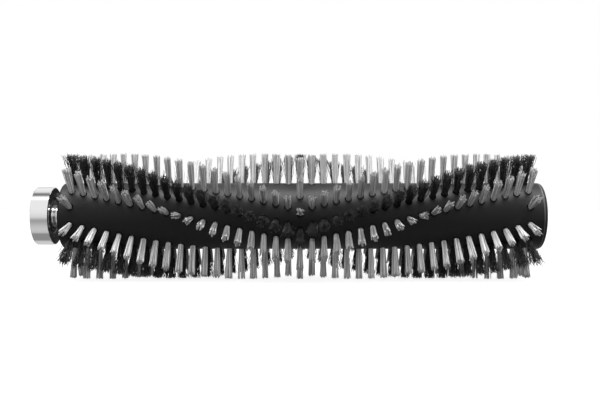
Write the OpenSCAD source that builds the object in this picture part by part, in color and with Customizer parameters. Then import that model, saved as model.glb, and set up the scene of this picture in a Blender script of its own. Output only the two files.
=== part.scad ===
// Brush roller of an upright floor scrubber.
// The roller lies along +X, with +Z up and the origin at the middle of the bearing cup.
// The tuft rows are chevrons: every column turns a little further away from the centre column.

/* [Tufts] */
// Distance between neighbouring tuft columns, mm
tuft_pitch = 8; // [7.5:0.25:9]
// Number of tuft columns, an odd number with one in the middle
tuft_columns = 39; // [31:2:41]
// Turn of a row from one column to the next, degrees
chevron_step = 5; // [3:0.5:6]
// Angle at which the first grey row would reach the centre column, degrees above the front
first_row_angle = 11; // [0:1:29]
// Extra turn that sets the centre column off from the point of the chevrons, degrees
centre_column_turn = 6; // [0:1:8]
// Diameter over the tips of the grey tufts, mm
brush_diameter = 85.7; // [80:0.1:95]
// How much shorter the black tufts are than the grey ones, mm
black_trim = 0.3; // [0:0.1:2]
// Diameter of a grey tuft at its tip, mm
grey_tip_diameter = 5.1; // [4.2:0.1:5.6]
// Diameter of a black tuft at its tip, mm
black_tip_diameter = 7; // [4.2:0.1:7.4]
// Diameter of a tuft where it leaves the core, mm
tuft_waist_diameter = 3.9; // [3.6:0.1:4.1]

/* [Core] */
// Outside diameter of the core tube, mm
core_diameter = 45; // [44:0.5:48]
// Inside diameter of the core tube, mm
core_bore = 22; // [20:0.5:22.5]
// Bare length of core before the first column, mm
idler_margin = 8.7; // [7:0.1:20]
// Bare length of core after the last column, mm
drive_margin = 11.8; // [7:0.1:20]
// Rounding of the core's outer edges, mm
core_edge_radius = 2; // [0.5:0.1:3]
// Diameter of the tuft holes, mm
tuft_hole_diameter = 4.9; // [4.5:0.1:5.1]
// Depth of the tuft holes, mm
tuft_hole_depth = 9; // [8:0.5:9]

/* [Idler end] */
// Outside diameter of the bearing cup, mm
cup_diameter = 39; // [38:0.5:42]
// Width of the bearing cup, mm
cup_width = 12; // [12:0.5:15]
// Gap between the bearing cup and the core, mm
cup_gap = 6.5; // [5:0.5:12]
// Diameter of the stub shaft, mm
shaft_diameter = 10; // [8:0.5:10]
// Diameter of the bright spacer collar, mm
collar_diameter = 15; // [13:0.5:15]

/* [Drive end] */
// Width across the flats of the hex drive socket, mm
hex_across_flats = 14; // [10:0.5:15]
// Depth of the hex drive socket, mm
hex_depth = 14; // [8:0.5:18]
// Diameter of the pilot bore behind the hex, mm
pilot_diameter = 10; // [6:0.5:10]
// Depth of the pilot bore, mm
pilot_depth = 12; // [6:0.5:16]

/* [Hidden] */

$fn = 64;
cut = 1;            // how far a cutting shape runs past the face it cuts
press_gap = 0.02;   // radial gap of parts pressed together
face_gap = 0.05;    // gap between faces that butt
running_gap = 0.1;  // radial gap of a part that turns inside another

// Core tube and its tuft holes
core_radius = core_diameter / 2;
core_start = cup_width / 2 + cup_gap;
tufted_length = (tuft_columns - 1) * tuft_pitch;
core_length = idler_margin + tufted_length + drive_margin;
core_end = core_start + core_length;
centre_column_x = core_start + idler_margin + tufted_length / 2;
last_column = (tuft_columns - 1) / 2;
hole_radius = tuft_hole_diameter / 2;
hole_floor = core_radius - tuft_hole_depth;

// Twelve rows of holes: six grey, three black and three that are bare but for a few fill tufts
row_spacing = 360 / 12;
grey_slots = [0, 2, 4, 6, 8, 10];
black_slots = [3, 7, 11];
fill_slots = [1, 5, 9];
row_columns = [for (k = [-last_column:last_column]) k];
fill_columns = [-last_column, 0, last_column];

// Tufts and the flat wire anchors that hold them
root_radius = hole_radius - face_gap;
root_floor = hole_floor + 0.1;
root_depth = 3;     // how far below the core's surface a tuft starts to narrow
waist_depth = 1.5;  // how far below the core's surface its waist is
root_top = core_radius - root_depth;
waist_radius = tuft_waist_diameter / 2;
waist_level = core_radius - waist_depth;
anchor_thickness = 0.5;
anchor_height = 1.6;
anchor_gap = 0.1;
anchor_level = root_floor + 1.4;
anchor_size = [tuft_hole_diameter - 2 * press_gap, anchor_thickness, anchor_height];
slot_size = [tuft_hole_diameter + 2 * cut, anchor_thickness + anchor_gap, anchor_height + anchor_gap];

// End plugs in the core
plug_radius = core_bore / 2 - press_gap;
plug_length = 40;
flange_radius = 14;
flange_thickness = 2;
flange_bevel = 0.5;
boss_radius = 9;
boss_length = 3;
boss_bevel = 0.8;
hex_lead_in = 0.8;

// Stub shaft
shaft_radius = shaft_diameter / 2;
shaft_bore_radius = shaft_radius + press_gap;
shaft_overhang = 1.2;  // how far the shaft stands out of the cup
shaft_reach = 34;      // how far it goes into the core
shaft_end_gap = 0.5;
shaft_start = -cup_width / 2 - shaft_overhang;
shaft_end = core_start + shaft_reach;
shaft_chamfer = 0.6;
shaft_groove_radius = shaft_radius - 0.2;
pin_radius = 2;
pin_length = 20.8;
pin_x = core_start + 19.5;

// Bearing cup and the moulded housing inside it
cup_radius = cup_diameter / 2;
cup_wall = 1;
cup_outer_chamfer = 0.5;
cup_mouth_chamfer = 0.3;
cup_lip_radius = 13.5;
cup_bore_radius = cup_radius - cup_wall;
housing_radius = cup_bore_radius - press_gap;
housing_start = -cup_width / 2 + cup_wall + face_gap;
housing_end = cup_width / 2;
housing_web_radius = 11;
housing_recess = 1.2;
housing_rim = 0.4;
dust_ring_radius = 10.85;
dust_ring_start = housing_end - 1.5;
dust_ring_end = housing_end - 1;

// Steps of the spacer collar: distance from the dust ring and depth below the collar's diameter
collar_steps = [[0.2, 0], [0.9, 0.12], [0.9, 0.2], [1.9, 0.27], [1.9, 0.33], [2.95, 0.39], [2.95, 0.26]];
collar_end_depth = 0.5;

// Ball bearing, 30 mm across and 9 mm wide
bearing_width = 9;
bearing_radius = 15;
bearing_start = housing_start;
bearing_end = bearing_start + bearing_width;
bearing_middle = (bearing_start + bearing_end) / 2;
ball_count = 8;
ball_radius = 2.38;
ball_circle_radius = 10.45;
ball_groove_radius = ball_radius + 0.07;
ball_pocket_radius = ball_radius + 0.06;
inner_shoulder_radius = 8.5;
outer_shoulder_radius = 12.4;
seal_seat_radius = 13.2;
seal_seat_depth = 1.1;
seal_thickness = 0.9;
cage_inner_radius = 9.3;
cage_outer_radius = 11.6;
cage_width = 5.8;

// Retaining ring on the shaft's outer end
retaining_ring_thickness = 1;
retaining_ring_play = 0.03;
retaining_ring_radius = 7.2;
retaining_ring_gap_angle = 50;
retaining_lug_radius = 1.5;
retaining_lug_hole_radius = 0.6;
retaining_lug_turn = 6;  // degrees from the edge of the gap to the middle of a lug

// Colours
bright = [0.86, 0.87, 0.88];
steel = [0.66, 0.67, 0.69];
black_plastic = [0.11, 0.11, 0.12];
seal_rubber = [0.07, 0.07, 0.07];
cage_plastic = [0.55, 0.38, 0.2];
grey_nylon = [0.72, 0.72, 0.7];
black_nylon = [0.09, 0.09, 0.1];

// Puts a shape that was made up the Z axis along +X, starting at x.
module along_x(x) {
    translate([x, 0, 0]) rotate([0, 90, 0]) children();
}

// A ring around the X axis from x0 to x1.
module ring(outer, inner, x0, x1) {
    along_x(x0) difference() {
        cylinder(r = outer, h = x1 - x0);
        translate([0, 0, -cut]) cylinder(r = inner, h = x1 - x0 + 2 * cut);
    }
}

// Stands its children on the roller at hole position slot and column k, pointing outwards.
module at_hole(slot, k) {
    centre_turn = k == 0 ? centre_column_turn : 0;
    angle = first_row_angle + row_spacing * slot + chevron_step * abs(k) - centre_turn;
    translate([centre_column_x + tuft_pitch * k, 0, 0]) rotate([90 - angle, 0, 0]) children();
}

module tuft(tip_radius, tip_level) {
    difference() {
        rotate_extrude() polygon([
            [0, root_floor],
            [root_radius, root_floor],
            [root_radius, root_top],
            [waist_radius, waist_level],
            [tip_radius, tip_level],
            [0, tip_level]
        ]);
        translate([0, 0, anchor_level]) cube(slot_size, center = true);
    }
}

module grey_tufts(slots, columns) {
    color(grey_nylon) for (slot = slots, k = columns)
        at_hole(slot, k) tuft(grey_tip_diameter / 2, brush_diameter / 2);
}

module black_tufts(slots, columns) {
    color(black_nylon) for (slot = slots, k = columns)
        at_hole(slot, k) tuft(black_tip_diameter / 2, brush_diameter / 2 - black_trim);
}

module anchors_in(slots, columns) {
    for (slot = slots, k = columns)
        at_hole(slot, k) translate([0, 0, anchor_level]) cube(anchor_size, center = true);
}

module tuft_anchors() {
    color(steel) {
        anchors_in(grey_slots, row_columns);
        anchors_in(black_slots, row_columns);
        anchors_in(fill_slots, fill_columns);
    }
}

module drill_holes(slots, columns) {
    for (slot = slots, k = columns)
        at_hole(slot, k) translate([0, 0, hole_floor]) cylinder(r = hole_radius, h = tuft_hole_depth + cut);
}

// Half section of the core tube: radius across, length up.
module core_section() {
    difference() {
        union() {
            square([core_radius - core_edge_radius, core_length]);
            translate([0, core_edge_radius]) square([core_radius, core_length - 2 * core_edge_radius]);
            for (level = [core_edge_radius, core_length - core_edge_radius])
                translate([core_radius - core_edge_radius, level]) circle(r = core_edge_radius);
        }
        translate([-cut, -cut]) square([core_bore / 2 + cut, core_length + 2 * cut]);
        for (level = [-cut, core_length - flange_thickness - face_gap])
            translate([-cut, level])
                square([flange_radius + face_gap + cut, flange_thickness + face_gap + cut]);
    }
}

module core_tube() {
    color(black_plastic) difference() {
        along_x(core_start) rotate_extrude() core_section();
        drill_holes(grey_slots, row_columns);
        drill_holes(black_slots, row_columns);
        drill_holes(fill_slots, fill_columns);
    }
}

module cross_pin_hole() {
    translate([pin_x, 0, 0]) cylinder(r = pin_radius + press_gap, h = core_bore, center = true);
}

// Plug of the idler end, with the boss that the spacer collar butts against.
module idler_plug() {
    boss_start = core_start - boss_length;
    shaft_hole_length = shaft_end - boss_start + shaft_end_gap;
    color(black_plastic) difference() {
        union() {
            along_x(boss_start) cylinder(r1 = boss_radius - boss_bevel, r2 = boss_radius, h = boss_bevel);
            along_x(boss_start + boss_bevel) cylinder(r = boss_radius, h = boss_length - boss_bevel);
            along_x(core_start) cylinder(r = flange_radius, h = flange_thickness);
            along_x(core_start + flange_thickness)
                cylinder(r = plug_radius, h = plug_length - flange_thickness);
        }
        along_x(boss_start - cut) cylinder(r = shaft_bore_radius, h = shaft_hole_length + cut);
        cross_pin_hole();
    }
}

module cross_pin() {
    color(steel) translate([pin_x, 0, 0]) cylinder(r = pin_radius, h = pin_length, center = true);
}

module stub_shaft() {
    groove_start = bearing_start - face_gap - retaining_ring_thickness - retaining_ring_play;
    groove_end = bearing_start;
    color(steel) difference() {
        union() {
            along_x(shaft_start)
                cylinder(r1 = shaft_radius - shaft_chamfer, r2 = shaft_radius, h = shaft_chamfer);
            along_x(shaft_start + shaft_chamfer)
                cylinder(r = shaft_radius, h = shaft_end - shaft_start - 2 * shaft_chamfer);
            along_x(shaft_end - shaft_chamfer)
                cylinder(r1 = shaft_radius, r2 = shaft_radius - shaft_chamfer, h = shaft_chamfer);
        }
        ring(shaft_radius + cut, shaft_groove_radius, groove_start, groove_end);
        cross_pin_hole();
    }
}

module retaining_ring() {
    ring_end = bearing_start - face_gap;
    ring_start = ring_end - retaining_ring_thickness;
    half_gap = retaining_ring_gap_angle / 2;
    lug_angle = half_gap + retaining_lug_turn;
    far = 2 * retaining_ring_radius;
    color(steel) along_x(ring_start) difference() {
        union() {
            difference() {
                cylinder(r = retaining_ring_radius, h = retaining_ring_thickness);
                translate([0, 0, -cut]) linear_extrude(retaining_ring_thickness + 2 * cut) polygon([
                    [0, 0],
                    [far * cos(half_gap), -far * sin(half_gap)],
                    [far * cos(half_gap), far * sin(half_gap)]
                ]);
            }
            for (side = [-1, 1]) rotate([0, 0, side * lug_angle])
                translate([retaining_ring_radius, 0, 0])
                    cylinder(r = retaining_lug_radius, h = retaining_ring_thickness);
        }
        translate([0, 0, -cut])
            cylinder(r = shaft_groove_radius + press_gap, h = retaining_ring_thickness + 2 * cut);
        for (side = [-1, 1]) rotate([0, 0, side * lug_angle])
            translate([retaining_ring_radius, 0, -cut])
                cylinder(r = retaining_lug_hole_radius, h = retaining_ring_thickness + 2 * cut);
    }
}

// Spacer collar, with shallow steps turned into its outside beyond the dust ring.
module spacer_collar() {
    collar_start = bearing_end + face_gap;
    collar_end = core_start - boss_length - face_gap;
    collar_radius = collar_diameter / 2;
    color(bright) along_x(0) rotate_extrude() polygon([
        [shaft_bore_radius, collar_start],
        [collar_radius, collar_start],
        for (step = collar_steps) [collar_radius - step[1], dust_ring_end + step[0]],
        [collar_radius - collar_end_depth, collar_end],
        [shaft_bore_radius, collar_end]
    ]);
}

// Drawn steel cup, with a lip on its outer side that keeps the bearing in.
module bearing_cup() {
    half = cup_width / 2;
    color(bright) along_x(0) rotate_extrude() polygon([
        [cup_lip_radius, -half],
        [cup_radius - cup_outer_chamfer, -half],
        [cup_radius, -half + cup_outer_chamfer],
        [cup_radius, half - cup_mouth_chamfer],
        [cup_radius - cup_mouth_chamfer, half],
        [cup_bore_radius, half],
        [cup_bore_radius, -half + cup_wall],
        [cup_lip_radius, -half + cup_wall]
    ]);
}

// Moulded housing between the cup and the bearing, with a dished face on the core's side.
module bearing_housing() {
    web_start = bearing_end + face_gap;
    face = housing_end - housing_recess;
    color(black_plastic) along_x(0) rotate_extrude() polygon([
        [bearing_radius, housing_start],
        [housing_radius, housing_start],
        [housing_radius, housing_end],
        [housing_radius - housing_rim, housing_end],
        [housing_web_radius, face],
        [housing_web_radius, web_start],
        [bearing_radius, web_start]
    ]);
}

module dust_ring() {
    color(seal_rubber)
        ring(dust_ring_radius, collar_diameter / 2 + running_gap, dust_ring_start, dust_ring_end);
}

module outer_race() {
    half = bearing_width / 2;
    color(steel) along_x(bearing_middle) rotate_extrude() difference() {
        translate([outer_shoulder_radius, -half])
            square([bearing_radius - press_gap - outer_shoulder_radius, bearing_width]);
        translate([ball_circle_radius, 0]) circle(r = ball_groove_radius);
        for (level = [-half - cut, half - seal_seat_depth])
            translate([0, level]) square([seal_seat_radius, seal_seat_depth + cut]);
    }
}

module inner_race() {
    color(steel) along_x(bearing_middle) rotate_extrude() difference() {
        translate([shaft_bore_radius, -bearing_width / 2])
            square([inner_shoulder_radius - shaft_bore_radius, bearing_width]);
        translate([ball_circle_radius, 0]) circle(r = ball_groove_radius);
    }
}

module at_balls() {
    for (i = [0:ball_count - 1])
        translate([bearing_middle, 0, 0]) rotate([i * 360 / ball_count, 0, 0])
            translate([0, 0, ball_circle_radius]) children();
}

module bearing_balls() {
    color(bright) at_balls() sphere(r = ball_radius);
}

module ball_cage() {
    color(cage_plastic) difference() {
        ring(cage_outer_radius, cage_inner_radius,
             bearing_middle - cage_width / 2, bearing_middle + cage_width / 2);
        at_balls() sphere(r = ball_pocket_radius);
    }
}

module bearing_seals() {
    seat_floor = bearing_width / 2 - seal_seat_depth + face_gap;
    color(seal_rubber) for (start = [-seat_floor - seal_thickness, seat_floor])
        ring(seal_seat_radius - face_gap, inner_shoulder_radius + running_gap,
             bearing_middle + start, bearing_middle + start + seal_thickness);
}

// Plug of the drive end: a hex socket, then a round pilot bore.
module drive_insert() {
    hex_radius = hex_across_flats / 2 / cos(30);
    color(black_plastic) difference() {
        union() {
            along_x(core_end - flange_thickness)
                cylinder(r = flange_radius, h = flange_thickness - flange_bevel);
            along_x(core_end - flange_bevel)
                cylinder(r1 = flange_radius, r2 = flange_radius - flange_bevel, h = flange_bevel);
            along_x(core_end - plug_length)
                cylinder(r = plug_radius, h = plug_length - flange_thickness);
        }
        along_x(core_end - hex_depth) cylinder(r = hex_radius, h = hex_depth + cut, $fn = 6);
        along_x(core_end - hex_lead_in)
            cylinder(r1 = hex_radius - hex_lead_in, r2 = hex_radius, h = hex_lead_in);
        along_x(core_end - hex_depth - pilot_depth)
            cylinder(d = pilot_diameter, h = pilot_depth + cut);
    }
}

bearing_cup();
bearing_housing();
dust_ring();
outer_race();
bearing_seals();
bearing_balls();
ball_cage();
inner_race();
retaining_ring();
stub_shaft();
spacer_collar();
idler_plug();
cross_pin();
core_tube();
drive_insert();
for (i = [1:len(grey_slots)])
    grey_tufts([grey_slots[i - 1]], row_columns);
for (i = [1:len(black_slots)])
    black_tufts([black_slots[i - 1]], row_columns);
grey_tufts(fill_slots, fill_columns);  // fill_tufts
tuft_anchors();
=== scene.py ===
"""Blender scene of the floor scrubber's brush roller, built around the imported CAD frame."""
import math

import bpy
import numpy as np
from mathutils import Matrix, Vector


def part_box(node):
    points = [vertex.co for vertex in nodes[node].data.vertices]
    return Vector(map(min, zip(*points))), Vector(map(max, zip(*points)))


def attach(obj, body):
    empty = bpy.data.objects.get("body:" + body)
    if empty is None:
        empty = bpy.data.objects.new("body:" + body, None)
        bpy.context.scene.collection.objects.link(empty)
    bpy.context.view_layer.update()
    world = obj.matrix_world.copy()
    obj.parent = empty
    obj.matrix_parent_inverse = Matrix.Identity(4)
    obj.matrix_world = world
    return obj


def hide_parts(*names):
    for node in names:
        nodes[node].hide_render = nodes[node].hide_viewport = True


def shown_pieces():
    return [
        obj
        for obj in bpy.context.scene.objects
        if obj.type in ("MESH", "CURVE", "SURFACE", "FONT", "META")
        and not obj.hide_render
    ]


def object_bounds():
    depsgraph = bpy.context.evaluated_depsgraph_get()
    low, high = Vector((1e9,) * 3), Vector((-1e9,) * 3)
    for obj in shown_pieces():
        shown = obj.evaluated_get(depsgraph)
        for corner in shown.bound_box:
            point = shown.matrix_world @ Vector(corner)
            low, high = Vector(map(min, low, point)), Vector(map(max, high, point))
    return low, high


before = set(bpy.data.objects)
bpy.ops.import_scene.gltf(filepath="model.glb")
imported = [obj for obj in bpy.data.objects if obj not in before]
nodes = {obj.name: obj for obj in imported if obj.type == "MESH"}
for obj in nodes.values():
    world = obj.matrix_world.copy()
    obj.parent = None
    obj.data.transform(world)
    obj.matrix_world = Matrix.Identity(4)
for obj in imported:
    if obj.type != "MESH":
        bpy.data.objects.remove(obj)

cad_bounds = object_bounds()
scene = bpy.context.scene

MM = 0.001
FULL_TURN = 2 * math.pi

# Layout of the tufts, as in the CAD part (degrees, and metres from millimetres).
TUFT_PITCH = 8 * MM
LAST_COLUMN = 19
CHEVRON_STEP = 5
FIRST_ROW_ANGLE = 11
CENTRE_COLUMN_TURN = 6
SLOT_SPACING = 30
GREY_SLOTS = {"grey_row_1": 0, "grey_row_2": 2, "grey_row_3": 4,
              "grey_row_4": 6, "grey_row_5": 8, "grey_row_6": 10}
BLACK_SLOTS = {"black_row_1": 3, "black_row_2": 7, "black_row_3": 11}
FILL_SLOTS = (1, 5, 9)
ROW_COLUMNS = range(-LAST_COLUMN, LAST_COLUMN + 1)
FILL_COLUMNS = (-LAST_COLUMN, 0, LAST_COLUMN)

row_low, row_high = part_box("grey_row_1")
ROW_MIDDLE_X = (row_low.x + row_high.x) / 2
CORE_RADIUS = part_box("core_tube")[1].z
CORE_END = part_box("core_tube")[1].x
BRUSH_RADIUS = cad_bounds[1].z

# Camera: level, a little above the roller's axis, looking along +Y.
CAMERA_DISTANCE = 592 * MM
CAMERA_HEIGHT = 7.2 * MM
SENSOR_WIDTH = 36.0
FOCAL_LENGTH = 51.9
NEAREST_VIEW = 0.01
FURTHEST_VIEW = 50


def add_camera():
    data = bpy.data.cameras.new("camera")
    data.sensor_width = SENSOR_WIDTH
    data.lens = FOCAL_LENGTH
    data.clip_start = NEAREST_VIEW
    data.clip_end = FURTHEST_VIEW
    camera = bpy.data.objects.new("camera", data)
    camera.location = (ROW_MIDDLE_X, -CAMERA_DISTANCE, CAMERA_HEIGHT)
    camera.rotation_euler = (math.radians(90), 0, 0)
    scene.collection.objects.link(camera)
    scene.camera = camera


# ---------------------------------------------------------------- node helpers

# Sockets of a node that mixes colours: its factor and its two colours, and its result.
MIX_INPUTS = (0, 6, 7)
MIX_RESULT = 2
NOISE_ROUGHNESS = 0.55
SOFT_EDGE = 0.25 * MM


class Nodes:
    """A short way to write a shader: makes nodes and links them in one call."""

    def __init__(self, tree):
        self.tree = tree

    def put(self, socket, value):
        """Links a value that comes from another node, and sets one that is plain."""
        if isinstance(value, bpy.types.NodeSocket):
            self.tree.links.new(value, socket)
        else:
            socket.default_value = value

    def add(self, kind, inputs=None, **settings):
        node = self.tree.nodes.new(kind)
        for name, value in settings.items():
            setattr(node, name, value)
        for name, value in (inputs or {}).items():
            self.put(node.inputs[name], value)
        return node

    def feed(self, shader, **sockets):
        """Puts values into the shader's sockets, named with an underscore for each space."""
        for name, value in sockets.items():
            self.put(shader.inputs[name.replace("_", " ")], value)

    def math(self, operation, *values):
        node = self.add("ShaderNodeMath", operation=operation)
        for socket, value in zip(node.inputs, values):
            self.put(socket, value)
        return node.outputs[0]

    def mix(self, factor, a, b):
        """The colour a where factor is 0, and b where it is 1."""
        inputs = dict(zip(MIX_INPUTS, (factor, a, b)))
        return self.add("ShaderNodeMix", inputs, data_type="RGBA").outputs[MIX_RESULT]

    def remap(self, value, source, target=(0.0, 1.0)):
        """Carries value from the source range over to the target range, and holds it inside that."""
        inputs = {"Value": value, "From Min": source[0], "From Max": source[1],
                  "To Min": target[0], "To Max": target[1]}
        return self.add("ShaderNodeMapRange", inputs).outputs[0]

    def scale(self, value, low, high):
        """value, from 0 to 1, spread over low to high."""
        return self.remap(value, (0.0, 1.0), (low, high))

    def step(self, value, place):
        """0 before place and 1 after it, with a soft edge on both sides of it."""
        return self.remap(value, (place - SOFT_EDGE, place + SOFT_EDGE))

    def split(self, vector):
        return self.add("ShaderNodeSeparateXYZ", {0: vector}).outputs

    def object_point(self):
        """The point on the piece, in its own frame."""
        return self.add("ShaderNodeTexCoord").outputs["Object"]

    def place_along_axis(self):
        return self.split(self.object_point())["X"]

    def axis_distance(self):
        """How far the point on the piece is from the roller's axis."""
        parts = self.split(self.object_point())
        squares = [self.math("POWER", parts[axis], 2.0) for axis in "YZ"]
        return self.math("SQRT", self.math("ADD", *squares))

    def turned_point(self, per_metre):
        """A point for a pattern that runs in rings round the axis, on sides and end faces alike."""
        inputs = {"X": self.math("MULTIPLY", self.place_along_axis(), per_metre),
                  "Y": self.math("MULTIPLY", self.axis_distance(), per_metre)}
        return self.add("ShaderNodeCombineXYZ", inputs).outputs[0]

    def noise(self, point, per_metre, detail, roughness=NOISE_ROUGHNESS):
        inputs = {"Vector": point, "Scale": per_metre, "Detail": detail, "Roughness": roughness}
        return self.add("ShaderNodeTexNoise", inputs).outputs[0]

    def rings(self, per_metre, detail, roughness=NOISE_ROUGHNESS):
        """Noise drawn out into rings round the axis."""
        return self.noise(self.turned_point(per_metre), 1, detail, roughness)

    def bump(self, height, strength, distance, normal=None):
        inputs = {"Height": height, "Strength": strength, "Distance": distance}
        if normal is not None:
            inputs["Normal"] = normal
        return self.add("ShaderNodeBump", inputs).outputs[0]

    def attribute(self, name):
        return self.add("ShaderNodeAttribute", attribute_name=name).outputs["Fac"]


def grey(value):
    return (value, value, value, 1)


def new_material(name, **settings):
    """A material with one Principled shader, its plain values set from settings."""
    material = bpy.data.materials.new(name)
    material.use_nodes = True
    n = Nodes(material.node_tree)
    shader = n.tree.nodes["Principled BSDF"]
    n.feed(shader, **settings)
    return material, n, shader


# ---------------------------------------------------------------- materials

# Moulded plastic: how often each pattern repeats in a metre, and what it does to the surface.
CLOUDS_PER_METRE = 90
GRAIN_PER_METRE = 2600
SCUFFS_PER_METRE = 1500
CLOUD_ROUGHNESS = 0.06
SCUFF_ROUGHNESS = 0.12
GRAIN_DEPTH = 0.1 * MM
SCUFF_DEPTH = 0.05 * MM
SCUFF_STRENGTH = 0.3

# Drilled core: painted shade under its skin, in the holes, which are also made dull and rough, and a
# painted highlight on a pale band at its drive end.
SKIN_DEPTH = 0.15 * MM
HOLE_PAINTED_SHADE = 0.001
LIP_START = CORE_END - 2.7 * MM
LIP_END = CORE_END - 1.9 * MM
LIP_PAINTED_HIGHLIGHT = 0.085

# Metal: turning marks and smears.
MARKS_PER_METRE = 1900
MARK_ROUGHNESS = 0.65
MARK_DEPTH = 0.012 * MM
SMEARS_PER_METRE = 140
SMEARED_TONE = 0.96
SMEAR_ROUGHNESS = (-0.02, 0.03)

# Rubber: dusty bloom and pores.
BLOOM_PER_METRE = 420
BLOOM_DARK = 0.008
BLOOM_LIGHT = 0.02
BLOOM_ROUGHNESS = (0.5, 0.72)
PORES_PER_METRE = 3500
PORE_STRENGTH = 0.3
PORE_DEPTH = 0.02 * MM

# Filaments: shares of each filament's own tone and of the wear in its colour, the painted tone of the cut
# tips (painted shade on grey tips, a painted highlight on black ones), the painted shade on the foot
# inside the hole, which fades out between two places along the filament (0 to 1), and how far the
# roughness goes below and above its middle value.
TONE_SHARE = 0.75
WEAR_SHARE = 0.35
WEAR_PER_METRE = 700
PAINTED_TIP_SHARPNESS = 14.0
PAINTED_TIP_SHARE = 0.6
FOOT_SHADE_FADE = (0.036, 0.05)
FOOT_PAINTED_SHADE = 0.002
SMOOTHEST_BELOW = 0.08
ROUGHEST_ABOVE = 0.1


def moulded_plastic(name, dark, light, roughness, grain, specular):
    """Moulded plastic: fine grain, cloudy sheen and faint scuffs round the roller."""
    material, n, shader = new_material(name, Specular_IOR_Level=specular)
    point = n.object_point()
    clouds = n.noise(point, CLOUDS_PER_METRE, detail=4)
    scuffs = n.rings(SCUFFS_PER_METRE, detail=3)
    uneven = n.math("ADD", n.scale(clouds, -CLOUD_ROUGHNESS, CLOUD_ROUGHNESS),
                    n.scale(scuffs, -SCUFF_ROUGHNESS, SCUFF_ROUGHNESS))
    grained = n.bump(n.noise(point, GRAIN_PER_METRE, detail=2), grain, GRAIN_DEPTH)
    n.feed(shader, Base_Color=n.mix(clouds, dark, light), Roughness=n.math("ADD", uneven, roughness),
           Normal=n.bump(scuffs, SCUFF_STRENGTH, SCUFF_DEPTH, grained))
    return material


def drilled_plastic(name, **moulding):
    """The core's moulded plastic, with painted shade in its rough holes and a painted highlight on a band
    at its drive end.
    """
    material = moulded_plastic(name, **moulding)
    n = Nodes(material.node_tree)
    shader = n.tree.nodes["Principled BSDF"]
    across = n.place_along_axis()
    before_lip = n.math("LESS_THAN", across, LIP_START)
    under_skin = n.math("LESS_THAN", n.axis_distance(), CORE_RADIUS - SKIN_DEPTH)
    in_hole = n.math("MULTIPLY", before_lip, under_skin)
    # Painted highlight: a pale band just short of the drive end, in place of the rounded rim's highlight.
    lip_highlight = n.math("SUBTRACT", n.step(across, LIP_START), n.step(across, LIP_END))
    plain_colour = shader.inputs["Base Color"].links[0].from_socket
    plain_rough = shader.inputs["Roughness"].links[0].from_socket
    skin = n.mix(lip_highlight, plain_colour, grey(LIP_PAINTED_HIGHLIGHT))
    # Painted shade: everything under the skin, in the holes, goes near black; the holes are also made
    # fully rough.
    n.feed(shader, Base_Color=n.mix(in_hole, skin, grey(HOLE_PAINTED_SHADE)),
           Roughness=n.math("MAXIMUM", plain_rough, in_hole))
    return material


def polished_metal(name, tone, roughness, turning):
    """Plated or ground metal with fine marks that run round the axis."""
    material, n, shader = new_material(name, Metallic=1.0)
    marks = n.rings(MARKS_PER_METRE, detail=5, roughness=MARK_ROUGHNESS)
    smears = n.noise(n.object_point(), SMEARS_PER_METRE, detail=3)
    n.feed(shader, Base_Color=n.mix(smears, grey(tone * SMEARED_TONE), grey(tone)),
           Roughness=n.math("ADD", n.scale(smears, *SMEAR_ROUGHNESS), roughness),
           Normal=n.bump(marks, turning, MARK_DEPTH))
    return material


def rubber(name, specular):
    """Seal rubber with a dusty bloom."""
    material, n, shader = new_material(name, Specular_IOR_Level=specular)
    point = n.object_point()
    bloom = n.noise(point, BLOOM_PER_METRE, detail=4)
    pores = n.noise(point, PORES_PER_METRE, detail=2)
    n.feed(shader, Base_Color=n.mix(bloom, grey(BLOOM_DARK), grey(BLOOM_LIGHT)),
           Roughness=n.scale(bloom, *BLOOM_ROUGHNESS), Normal=n.bump(pores, PORE_STRENGTH, PORE_DEPTH))
    return material


def filament_nylon(name, dark, light, end, roughness, specular, contrast, glow=0.0):
    """Nylon filament. Each filament carries a tone and a position along itself, from 0 to 1."""
    material, n, shader = new_material(name, Specular_IOR_Level=specular)
    tone = n.attribute("tone")
    along = n.attribute("along")
    wear = n.noise(n.object_point(), WEAR_PER_METRE, detail=3)
    worn = n.math("MULTIPLY", wear, WEAR_SHARE)
    shade = n.math("POWER", n.math("ADD", n.math("MULTIPLY", tone, TONE_SHARE), worn), contrast)
    # Painted shade and highlight on the cut tips: the end colour is painted shade on grey tips and a
    # painted highlight on black ones.
    painted_tip_shading = n.math("POWER", along, PAINTED_TIP_SHARPNESS)
    free = n.mix(n.math("MULTIPLY", painted_tip_shading, PAINTED_TIP_SHARE), n.mix(shade, dark, light), end)
    # Painted shade: the foot of each filament, inside its hole, fades to near black.
    colour = n.mix(n.remap(along, FOOT_SHADE_FADE), grey(FOOT_PAINTED_SHADE), free)
    n.feed(shader, Base_Color=colour,
           Roughness=n.scale(tone, roughness - SMOOTHEST_BELOW, roughness + ROUGHEST_ABOVE))
    if glow:
        through = n.add("ShaderNodeBsdfTranslucent", {"Color": colour}).outputs[0]
        both = n.add("ShaderNodeMixShader", {"Fac": glow, 1: shader.outputs[0], 2: through})
        n.feed(n.tree.nodes["Material Output"], Surface=both.outputs[0])
    return material


def paint(material, *names):
    for name in names:
        slots = nodes[name].data.materials
        slots.clear()
        slots.append(material)


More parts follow.
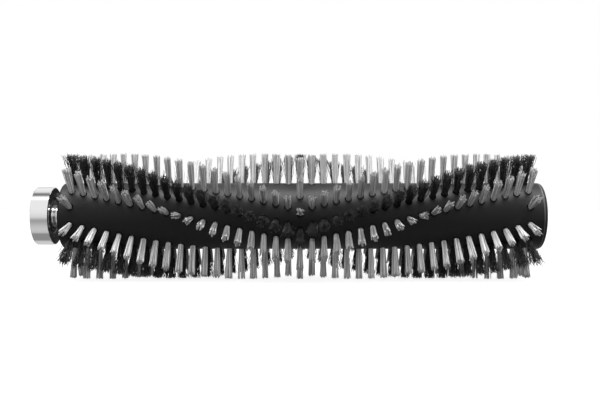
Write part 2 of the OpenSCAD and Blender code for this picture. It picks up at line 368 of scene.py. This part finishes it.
def paint_hard_pieces():
    """Gives each CAD piece that stays visible its material."""
    paint(drilled_plastic("core_plastic", dark=grey(0.0035), light=grey(0.0075),
                          roughness=0.53, grain=0.35, specular=0.255), "core_tube")
    paint(moulded_plastic("black_plastic", dark=grey(0.008), light=grey(0.014),
                          roughness=0.42, grain=0.3, specular=0.35), "idler_plug", "drive_insert")
    paint(moulded_plastic("housing_plastic", dark=grey(0.002), light=grey(0.004),
                          roughness=0.12, grain=0.03, specular=0.5), "bearing_housing")
    paint(moulded_plastic("cage_plastic", dark=(0.32, 0.19, 0.07, 1), light=(0.42, 0.26, 0.1, 1),
                          roughness=0.4, grain=0.2, specular=0.5), "ball_cage")
    paint(polished_metal("chrome", tone=0.93, roughness=0.07, turning=0.55), "bearing_cup")
    paint(polished_metal("turned_steel", tone=0.78, roughness=0.16, turning=0.8), "spacer_collar")
    paint(polished_metal("bearing_steel", tone=0.7, roughness=0.16, turning=0.8),
          "outer_race", "inner_race", "bearing_balls")
    paint(polished_metal("shaft_steel", tone=0.62, roughness=0.25, turning=0.9),
          "stub_shaft", "cross_pin")
    paint(polished_metal("spring_steel", tone=0.13, roughness=0.32, turning=0.6), "retaining_ring")
    paint(polished_metal("anchor_wire", tone=0.6, roughness=0.25, turning=0.4), "tuft_anchors")
    paint(rubber("seal_rubber", specular=0.3), "dust_ring", "bearing_seals")


# ---------------------------------------------------------------- tufts

# Each kind of tuft has a number of filaments, gathered into clumps. A filament has a radius, sides
# and rings. The tuft has a radius at its waist and one at its tip. Tips gather towards their clump
# and stray from it, and the share that is wild strays most. Filaments bend sideways, wave by a
# width and a number of waves, stop short of the brush's radius, and are trimmed by up to a length.
# The tufts nearest an end lean outwards and flare.
GREY_TUFT = {
    "filaments": 36, "clumps": 7, "radius": 0.262 * MM, "sides": 5, "rings": 7,
    "waist": 1.58 * MM, "tip": 2.55 * MM, "gather": 0.56, "stray": 0.22 * MM, "wild": 0.0,
    "bend": 0.16 * MM, "wave": 0.0, "waves": 0.0, "short": 0.0, "trim": 0.7 * MM,
    "lean": 0.0, "flare": 0.0,
}
BLACK_TUFT = {
    "filaments": 92, "clumps": 14, "radius": 0.175 * MM, "sides": 3, "rings": 9,
    "waist": 1.64 * MM, "tip": 3.1 * MM, "gather": 0.2, "stray": 0.74 * MM, "wild": 0.16,
    "bend": 0.5 * MM, "wave": 0.36 * MM, "waves": 2.2, "short": 0.3 * MM, "trim": 1.5 * MM,
    "lean": 1.7 * MM, "flare": 0.15,
}
# How much more the wild ones stray, the most that any strays, how the tuft opens from waist to
# tip, how soon waves reach their full width, and how many columns at each end flare.
WILD_STRAY = 2.4
MOST_STRAY = 1.8
SPLAY_CURVE = 1.15
WAVE_GROWTH = 2.5
FLARED_COLUMNS = 2
GOLDEN_ANGLE = math.radians(137.508)

# A filament starts at the root level in its hole, is narrow at the mouth level, and tapers over
# the last of its length to a share of its girth.
ROOT_LEVEL = CORE_RADIUS - 6.4 * MM
MOUTH_LEVEL = CORE_RADIUS - 0.9 * MM
TIP_START = 0.95
TIP_SHARE = 0.5

# Filaments repeat the tone and the strip of texture of this many variants.
VARIANTS = 48
TONE_SEED = 7
FIRST_ROW_SEED = 100
STRIP_GAP = 0.1
STRIP_WIDTH = 0.8
STRIP_FOOT = 0.02
STRIP_HEIGHT = 0.96


def disc_points(count, turn):
    """Points spread evenly over a disc of radius 1."""
    order = np.arange(count)
    share = np.sqrt((order + 0.5) / count)
    angle = order * GOLDEN_ANGLE + turn
    return np.stack([np.cos(angle) * share, np.sin(angle) * share], axis=1)


def tuft_tips(rng, kind, spread, near_end):
    """Where the filaments of one tuft end, across the tuft: gathered in clumps, and a few astray."""
    count = kind["filaments"]
    clumps = disc_points(kind["clumps"], rng.uniform(0, FULL_TURN))
    distance = np.linalg.norm(spread[:, None, :] - clumps[None, :, :], axis=2)
    nearest = clumps[np.argmin(distance, axis=1)]
    gathered = spread + (nearest - spread) * kind["gather"]
    tip = gathered * kind["tip"] * (1 + kind["flare"] * abs(near_end))
    stray = np.where(rng.uniform(0, 1, count) < kind["wild"], WILD_STRAY, 1.0) * kind["stray"]
    sideways = np.clip(rng.normal(0, 1, (count, 2)), -MOST_STRAY, MOST_STRAY)
    tip = tip + sideways * stray[:, None] * (1 + abs(near_end))
    tip[:, 0] += kind["lean"] * near_end
    return tip


def tuft_centres(rng, kind, near_end):
    """Centre line of each filament of one tuft that stands along Z: (filaments, rings, 3)."""
    count = kind["filaments"]
    spread = disc_points(count, rng.uniform(0, FULL_TURN))
    root = spread * kind["waist"]
    tip = tuft_tips(rng, kind, spread, near_end)
    bend = rng.normal(0, kind["bend"], (count, 2))
    top = BRUSH_RADIUS - kind["short"] - rng.uniform(0, 1, count) ** 2 * kind["trim"]
    along = np.concatenate([[0.0], np.linspace(0.0, TIP_START, kind["rings"] - 2), [1.0]])
    level = MOUTH_LEVEL + (top - MOUTH_LEVEL)[:, None] * along[None, :]
    level[:, 0] = ROOT_LEVEL
    splay = along ** SPLAY_CURVE
    bow = np.sin(along * math.pi)
    centre = root[:, None, :] + (tip - root)[:, None, :] * splay[None, :, None]
    centre = centre + bend[:, None, :] * bow[None, :, None]
    if kind["wave"]:
        phase = rng.uniform(0, FULL_TURN, (count, 2))
        angle = phase[:, None, :] + along[None, :, None] * kind["waves"] * FULL_TURN
        growth = np.minimum(along * WAVE_GROWTH, 1.0)
        centre = centre + np.sin(angle) * kind["wave"] * growth[None, :, None]
    return np.concatenate([centre, level[:, :, None]], axis=2), along


def nearness_to_end(column):
    """From 0, over most of the row, to 1 or -1 at the tuft nearest an end, where tufts spread most."""
    share = max(0.0, (abs(column) - LAST_COLUMN + FLARED_COLUMNS) / FLARED_COLUMNS)
    return math.copysign(share, column)


def stand_on_roller(points, slot, column):
    """Turns points from a tuft along Z to its place on the roller."""
    degrees = FIRST_ROW_ANGLE + SLOT_SPACING * slot + CHEVRON_STEP * abs(column)
    angle = math.radians(degrees - (CENTRE_COLUMN_TURN if column == 0 else 0))
    outward = np.array([0.0, -math.cos(angle), math.sin(angle)])
    across = np.array([0.0, math.sin(angle), math.cos(angle)])
    along = np.array([1.0, 0.0, 0.0])
    placed = points[..., 0:1] * along + points[..., 1:2] * across + points[..., 2:3] * outward
    placed[..., 0] += ROW_MIDDLE_X + TUFT_PITCH * column
    return placed


def filament_faces(count, rings, sides):
    """Vertex numbers of the side quads and of the two end caps of every filament."""
    ring = np.arange(sides)
    step = np.arange(rings - 1) * sides
    a = step[:, None] + ring[None, :]
    b = step[:, None] + (ring[None, :] + 1) % sides
    quads = np.stack([a, b, b + sides, a + sides], axis=2).reshape(-1, 4)
    first = np.arange(count) * rings * sides
    quads = (first[:, None, None] + quads[None]).reshape(-1, 4)
    bottom = first[:, None] + ring[None, ::-1]
    top = first[:, None] + (rings - 1) * sides + ring[None, :]
    return quads, bottom, top


def add_point_values(mesh, name, values):
    mesh.attributes.new(name, "FLOAT", "POINT").data.foreach_set("value", values)


def bristle_row(name, kind, places, seed):
    """One mesh with every filament of the tufts at places, each (slot, column)."""
    rng = np.random.default_rng(seed)
    sides = kind["sides"]
    turn = np.arange(sides) / sides * FULL_TURN
    section = np.stack([np.cos(turn), np.sin(turn), np.zeros(sides)], axis=1) * kind["radius"]
    tufts = []
    for slot, column in places:
        centres, along = tuft_centres(rng, kind, nearness_to_end(column))
        girth = np.where(along == 1.0, TIP_SHARE, 1.0)
        rings = centres[:, :, None, :] + section[None, None, :, :] * girth[None, :, None, None]
        tufts.append(stand_on_roller(rings, slot, column))
    points = np.concatenate(tufts)
    count, rings = points.shape[:2]
    quads, bottom, top = filament_faces(count, rings, sides)
    corners = np.concatenate([quads.ravel(), bottom.ravel(), top.ravel()])
    sizes = np.concatenate([np.full(len(quads), 4), np.full(2 * count, sides)])
    starts = np.concatenate([[0], np.cumsum(sizes)[:-1]])
    smooth = np.concatenate([np.ones(len(quads), bool), np.zeros(2 * count, bool)])

    mesh = bpy.data.meshes.new(name)
    mesh.vertices.add(points.size // 3)
    mesh.vertices.foreach_set("co", points.astype(np.float32).ravel())
    mesh.loops.add(len(corners))
    mesh.loops.foreach_set("vertex_index", corners.astype(np.int32))
    mesh.polygons.add(len(sizes))
    mesh.polygons.foreach_set("loop_start", starts.astype(np.int32))
    mesh.polygons.foreach_set("use_smooth", smooth)
    mesh.update(calc_edges=True)

    variant = np.arange(count) % VARIANTS
    tones = np.random.default_rng(TONE_SEED).uniform(0, 1, VARIANTS)
    along_point = np.tile(np.repeat(along, sides), count).astype(np.float32)
    add_point_values(mesh, "tone", np.repeat(tones[variant], rings * sides).astype(np.float32))
    add_point_values(mesh, "along", along_point)
    add_strip_layout(mesh, corners, len(quads), variant, along_point, rings, sides)

    piece = bpy.data.objects.new(name, mesh)
    scene.collection.objects.link(piece)
    return piece


def add_strip_layout(mesh, corners, quad_count, variant, along_point, rings, sides):
    """A texture layout in which the filaments of one variant share one upright strip."""
    layer = mesh.uv_layers.new(name="OFBake")
    point_filament = corners // (rings * sides)
    around = (corners % sides).astype(float)
    side_corners = around[:quad_count * 4].reshape(-1, 4)
    wraps = side_corners[:, 1] < side_corners[:, 0]
    side_corners[wraps, 1] = sides
    side_corners[wraps, 2] = sides
    u = (variant[point_filament] + STRIP_GAP + STRIP_WIDTH * around / sides) / VARIANTS
    v = STRIP_FOOT + STRIP_HEIGHT * along_point[corners]
    layer.data.foreach_set("uv", np.stack([u, v], axis=1).astype(np.float32).ravel())


def add_tufts():
    """Replaces each CAD node of tufts with its filaments."""
    # The end colours are painted light on the cut tips: painted shade on the grey ones, a painted
    # highlight on the black ones.
    looks = {
        "grey_nylon": filament_nylon("grey_filament", dark=grey(0.22), light=grey(0.98), end=grey(0.24),
                                     roughness=0.38, specular=0.5, contrast=1.0, glow=0.26),
        "black_nylon": filament_nylon("black_filament", dark=grey(0.001), light=grey(0.11), end=grey(0.13),
                                      roughness=0.42, specular=0.24, contrast=2.4),
    }
    rows = [(name, GREY_TUFT, "grey_nylon", [(slot, column) for column in ROW_COLUMNS])
            for name, slot in GREY_SLOTS.items()]
    rows += [(name, BLACK_TUFT, "black_nylon", [(slot, column) for column in ROW_COLUMNS])
             for name, slot in BLACK_SLOTS.items()]
    fill_places = [(slot, column) for slot in FILL_SLOTS for column in FILL_COLUMNS]
    rows.append(("fill_tufts", GREY_TUFT, "grey_nylon", fill_places))
    for seed, (name, kind, finish, places) in enumerate(rows, FIRST_ROW_SEED):
        piece = bristle_row(name + "_filaments", kind, places, seed)
        piece.data.materials.append(looks[finish])
        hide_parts(name)
        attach(piece, "roller")


# ---------------------------------------------------------------- studio

# Brightness of the studio at angles in the plane across the roller:
# 0 is the front, 90 straight up, 180 the back and -90 straight down.
STUDIO = [
    (-180, 0.05), (-168, 0.05), (-160, 0.70), (-140, 0.62), (-127, 0.66), (-118, 0.45), (-112, 0.27),
    (-76, 0.27), (-68, 0.55), (-54, 0.60), (-40, 0.54), (-28, 0.43), (-18, 0.35), (-11, 0.48), (-4, 0.70),
    (4, 0.77), (14, 0.84), (30, 0.88), (62, 0.88), (71, 1.0), (73, 5.0), (79, 5.0), (82, 0.9), (91, 0.33),
    (97, 0.18), (102, 0.25), (109, 0.62), (116, 0.83), (135, 0.92), (160, 0.86), (168, 0.05), (180, 0.05),
]
STUDIO_PEAK = 5.0

# How far a view has to turn to the roller's ends before it meets the plain end walls,
# which get brighter from low down to high up. Both are parts of a direction of length 1.
END_WALL_TURN = (0.4, 0.75)
END_WALL_RISE = (-0.35, 0.55)
END_WALL_LEVELS = (0.3, 1.05)

# Share of the studio's brightness that lights matt surfaces, next to its full reflections.
DIFFUSE_SHARE = 0.6

# Soft lights, each as long as SOFT_LIGHT_LENGTH along the roller, and the pieces each one leaves unlit.
BRIGHT_METAL = ("bearing_cup", "spacer_collar")
BLACK_FILAMENTS = tuple(name + "_filaments" for name in BLACK_SLOTS)
SOFT_LIGHT_LENGTH = 1.3
SOFT_LIGHTS = {
    "key": {"y": -0.17, "z": 0.88, "depth": 0.25, "power": 22.5, "unlit": ("bearing_cup",)},
    "fill": {"y": -0.85, "z": 0.3, "depth": 0.5, "power": 4.6,
             "unlit": BRIGHT_METAL + BLACK_FILAMENTS + ("core_tube",)},
    "back_fill": {"y": 0.85, "z": 0.3, "depth": 0.5, "power": 5, "unlit": BRIGHT_METAL + ("core_tube",)},
}

WALL_RADIUS = 12
FLOOR_SIZE = 12
FLOOR_GAP = 0.3 * MM
STAGE_ROUGHNESS = 0.9


def add_studio_light():
    """Lit walls all round: banded across the roller, and plain as seen from its ends."""
    world = bpy.data.worlds.new("studio")
    scene.world = world
    world.use_nodes = True
    n = Nodes(world.node_tree)
    parts = n.split(n.add("ShaderNodeTexCoord").outputs["Generated"])
    angle = n.math("ARCTAN2", parts["Z"], n.math("MULTIPLY", parts["Y"], -1.0))
    ramp = n.add("ShaderNodeValToRGB", {"Fac": n.remap(angle, (-math.pi, math.pi))})
    stops = ramp.color_ramp.elements
    while len(stops) < len(STUDIO):
        stops.new(1.0)
    for stop, (degrees, level) in zip(stops, STUDIO):
        stop.position = (degrees + 180) / 360
        stop.color = grey(level / STUDIO_PEAK)
    bands = n.math("MULTIPLY", ramp.outputs["Color"], STUDIO_PEAK)
    endwise = n.remap(n.math("ABSOLUTE", parts["X"]), END_WALL_TURN)
    end_wall = n.remap(parts["Z"], END_WALL_RISE, END_WALL_LEVELS)
    level = n.math("ADD", n.math("MULTIPLY", bands, n.math("SUBTRACT", 1.0, endwise)),
                   n.math("MULTIPLY", end_wall, endwise))
    diffuse = n.add("ShaderNodeLightPath").outputs["Is Diffuse Ray"]
    n.feed(n.tree.nodes["Background"], Color=level, Strength=n.scale(diffuse, 1.0, DIFFUSE_SHARE))


def add_soft_light(name, y, z, depth, power, unlit):
    """A long soft light aimed at the roller, which leaves the unlit pieces to the other lights."""
    data = bpy.data.lights.new(name, "AREA")
    data.shape = "RECTANGLE"
    data.size = SOFT_LIGHT_LENGTH
    data.size_y = depth
    data.energy = power
    light = bpy.data.objects.new(name, data)
    light.location = (ROW_MIDDLE_X, y, z)
    aim = Vector((ROW_MIDDLE_X, 0, 0)) - light.location
    light.rotation_euler = aim.to_track_quat("-Z", "Y").to_euler()
    scene.collection.objects.link(light)
    lit = bpy.data.collections.new(name + "_lit")
    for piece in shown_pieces():
        if piece.name not in unlit:
            lit.objects.link(piece)
    light.light_linking.receiver_collection = lit


def set_stage_piece(piece, name, glow, base):
    """Makes piece a white stage piece that only the camera sees, so that it lights nothing."""
    material, _, _ = new_material(name + "_white", Base_Color=grey(base), Roughness=STAGE_ROUGHNESS,
                                  Specular_IOR_Level=0.0, Emission_Color=grey(1), Emission_Strength=glow)
    piece.name = name
    piece.data.materials.append(material)
    piece.visible_diffuse = False
    piece.visible_glossy = False
    piece.visible_transmission = False
    piece.visible_shadow = False


def add_backdrop():
    """A white wall all round and a white floor just below the roller."""
    bpy.ops.mesh.primitive_uv_sphere_add(radius=WALL_RADIUS, segments=48, ring_count=24)
    set_stage_piece(bpy.context.object, "studio_wall", glow=1.0, base=0.0)
    bpy.ops.mesh.primitive_plane_add(size=FLOOR_SIZE, location=(0, 0, cad_bounds[0].z - FLOOR_GAP))
    set_stage_piece(bpy.context.object, "studio_floor", glow=0.86, base=0.5)


scene.view_settings.view_transform = "Standard"
scene.view_settings.look = "None"
add_camera()
add_tufts()
paint_hard_pieces()
add_studio_light()
for light_name, light_settings in SOFT_LIGHTS.items():
    add_soft_light(light_name, **light_settings)
add_backdrop()
